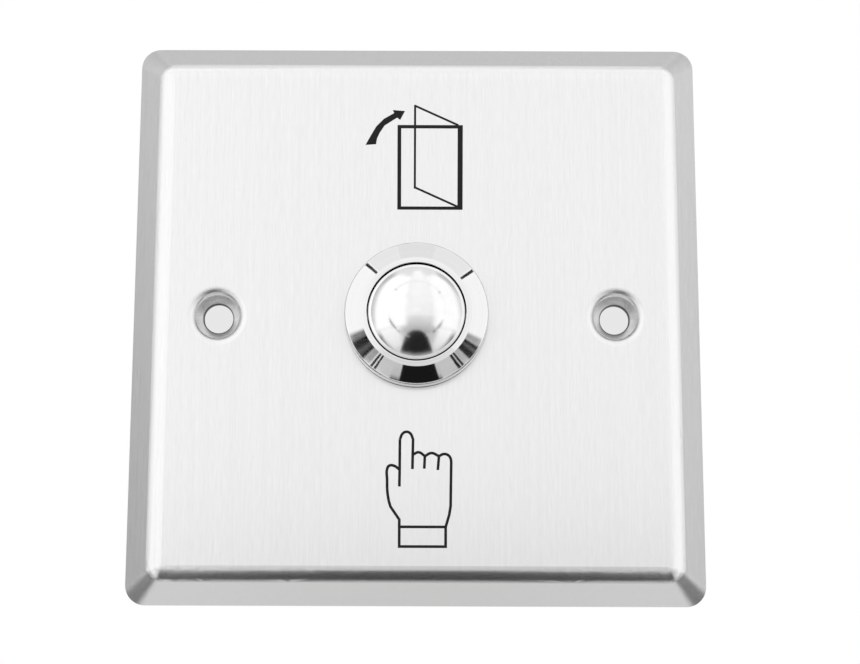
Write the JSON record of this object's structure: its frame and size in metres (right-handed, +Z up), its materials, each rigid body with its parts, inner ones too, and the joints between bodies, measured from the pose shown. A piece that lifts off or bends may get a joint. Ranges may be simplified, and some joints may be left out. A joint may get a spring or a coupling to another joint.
{
  "type": "door exit button",
  "caption": "Square metal wall plate with a domed metal push button at its centre, used to release a door from the inside.",
  "frame": {"origin": "centre of the two fixing holes, in the plane of the wall that the plate's rim rests on", "axes": "+Z up the wall, +X to the right of the person who presses the button, -Y out of the wall towards that person"},
  "size_m": [0.086, 0.0327, 0.086],
  "materials": {
    "stainless_brushed": "brushed from top to bottom",
    "stainless_turned": "turned and polished",
    "rubber_black": "moulded",
    "spring_steel": "hardened and bright",
    "nickel_plated": "nickel-plated brass",
    "plastic_natural": "moulded",
    "plastic_black": "moulded",
    "brass": "pressed strip",
    "silver_contact": "rivet head",
    "zinc_plated": "bright zinc plate"
  },
  "bodies": {
    "housing": {"faceplate": "stainless_brushed", "button_housing": "stainless_turned", "flange_gasket": "rubber_black", "tooth_washer": "spring_steel", "locknut": "nickel_plated", "retaining_ring": "spring_steel", "return_spring": "spring_steel", "switch_base": "plastic_black", "terminal_left": "brass", "terminal_right": "brass", "fixed_tips": "silver_contact", "clamp_washers": "zinc_plated", "terminal_screws": "zinc_plated"},
    "button": {"button_cap": "stainless_turned", "cap_seal_ring": "rubber_black", "plunger": "plastic_natural", "bridge_clip": "spring_steel", "contact_spring": "spring_steel"},
    "bridge": {"contact_bridge": "brass", "bridge_tips": "silver_contact"}
  },
  "joints": [
    {"name": "button_press", "type": "slide", "parent": "housing", "child": "button", "axis": [0, 1, 0], "range_m": [0, 0.0025], "stiffness_N_per_m": 800, "springref_m": -0.0025, "deforming": ["return_spring", "contact_spring"]},
    {"name": "bridge_close", "type": "slide", "parent": "housing", "child": "bridge", "axis": [0, 1, 0], "range_m": [0, 0.00115]}
  ],
  "couplings": [
    {"joint": "bridge_close", "follows": "button_press", "ratio": 0.46}
  ]
}
